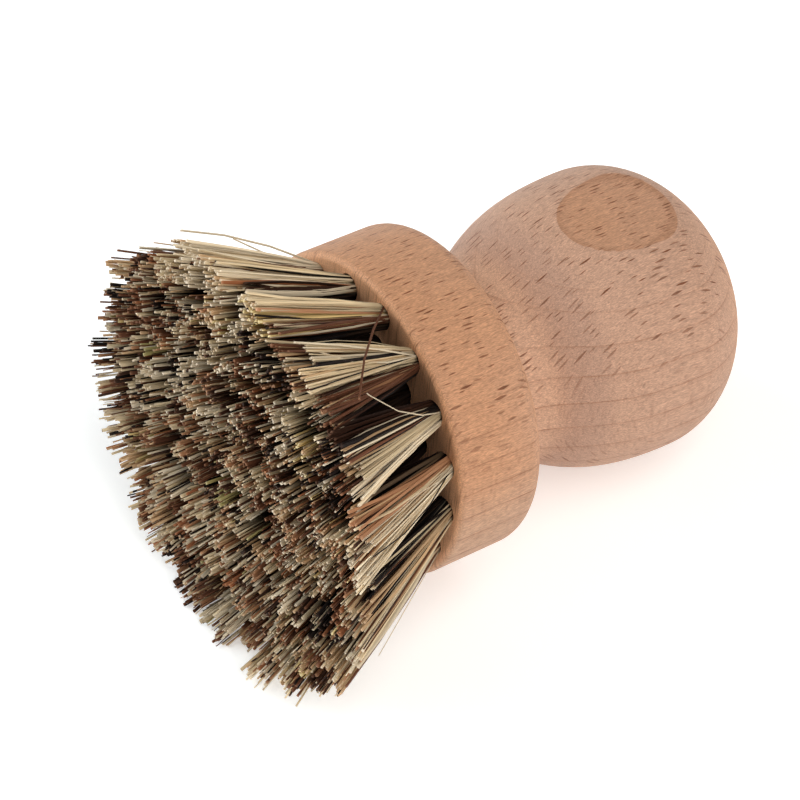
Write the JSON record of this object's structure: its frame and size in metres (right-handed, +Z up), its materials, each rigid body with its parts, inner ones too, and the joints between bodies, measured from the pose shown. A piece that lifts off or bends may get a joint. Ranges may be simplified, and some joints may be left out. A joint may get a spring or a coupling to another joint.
{
  "type": "round table brush",
  "caption": "Round scrubbing brush with a turned wooden collar, neck and knob to grip, and a flared disc of stiff plant-fibre tufts set into the collar's face.",
  "frame": {"origin": "middle of the brush's box at table level, with the brush lying on its side", "axes": "+X from the bristles towards the knob, +Z up; the brush's own axis lies in the XZ plane and dips 9.6 degrees towards the knob, as it does when the bristles' edge and the knob rest on a table"},
  "size_m": [0.103, 0.0778, 0.0755],
  "materials": {
    "beech": "matte",
    "fibre": "matte",
    "staple_wire": "satin"
  },
  "bodies": {
    "root": {"handle": "beech", "bristles_outer_ring": "fibre", "bristles_second_ring": "fibre", "bristles_third_ring": "fibre", "bristles_centre_ring": "fibre", "staple_outer_01": "staple_wire", "staple_outer_02": "staple_wire", "staple_outer_03": "staple_wire", "staple_outer_04": "staple_wire", "staple_outer_05": "staple_wire", "staple_outer_06": "staple_wire", "staple_outer_07": "staple_wire", "staple_outer_08": "staple_wire", "staple_outer_09": "staple_wire", "staple_outer_10": "staple_wire", "staple_outer_11": "staple_wire", "staple_outer_12": "staple_wire", "staple_outer_13": "staple_wire", "staple_outer_14": "staple_wire", "staple_outer_15": "staple_wire", "staple_outer_16": "staple_wire", "staple_outer_17": "staple_wire", "staple_second_01": "staple_wire", "staple_second_02": "staple_wire", "staple_second_03": "staple_wire", "staple_second_04": "staple_wire", "staple_second_05": "staple_wire", "staple_second_06": "staple_wire", "staple_second_07": "staple_wire", "staple_second_08": "staple_wire", "staple_second_09": "staple_wire", "staple_second_10": "staple_wire", "staple_second_11": "staple_wire", "staple_second_12": "staple_wire", "staple_second_13": "staple_wire", "staple_third_01": "staple_wire", "staple_third_02": "staple_wire", "staple_third_03": "staple_wire", "staple_third_04": "staple_wire", "staple_third_05": "staple_wire", "staple_third_06": "staple_wire", "staple_third_07": "staple_wire", "staple_third_08": "staple_wire", "staple_centre_01": "staple_wire", "staple_centre_02": "staple_wire", "staple_centre_03": "staple_wire"}
  },
  "joints": []
}
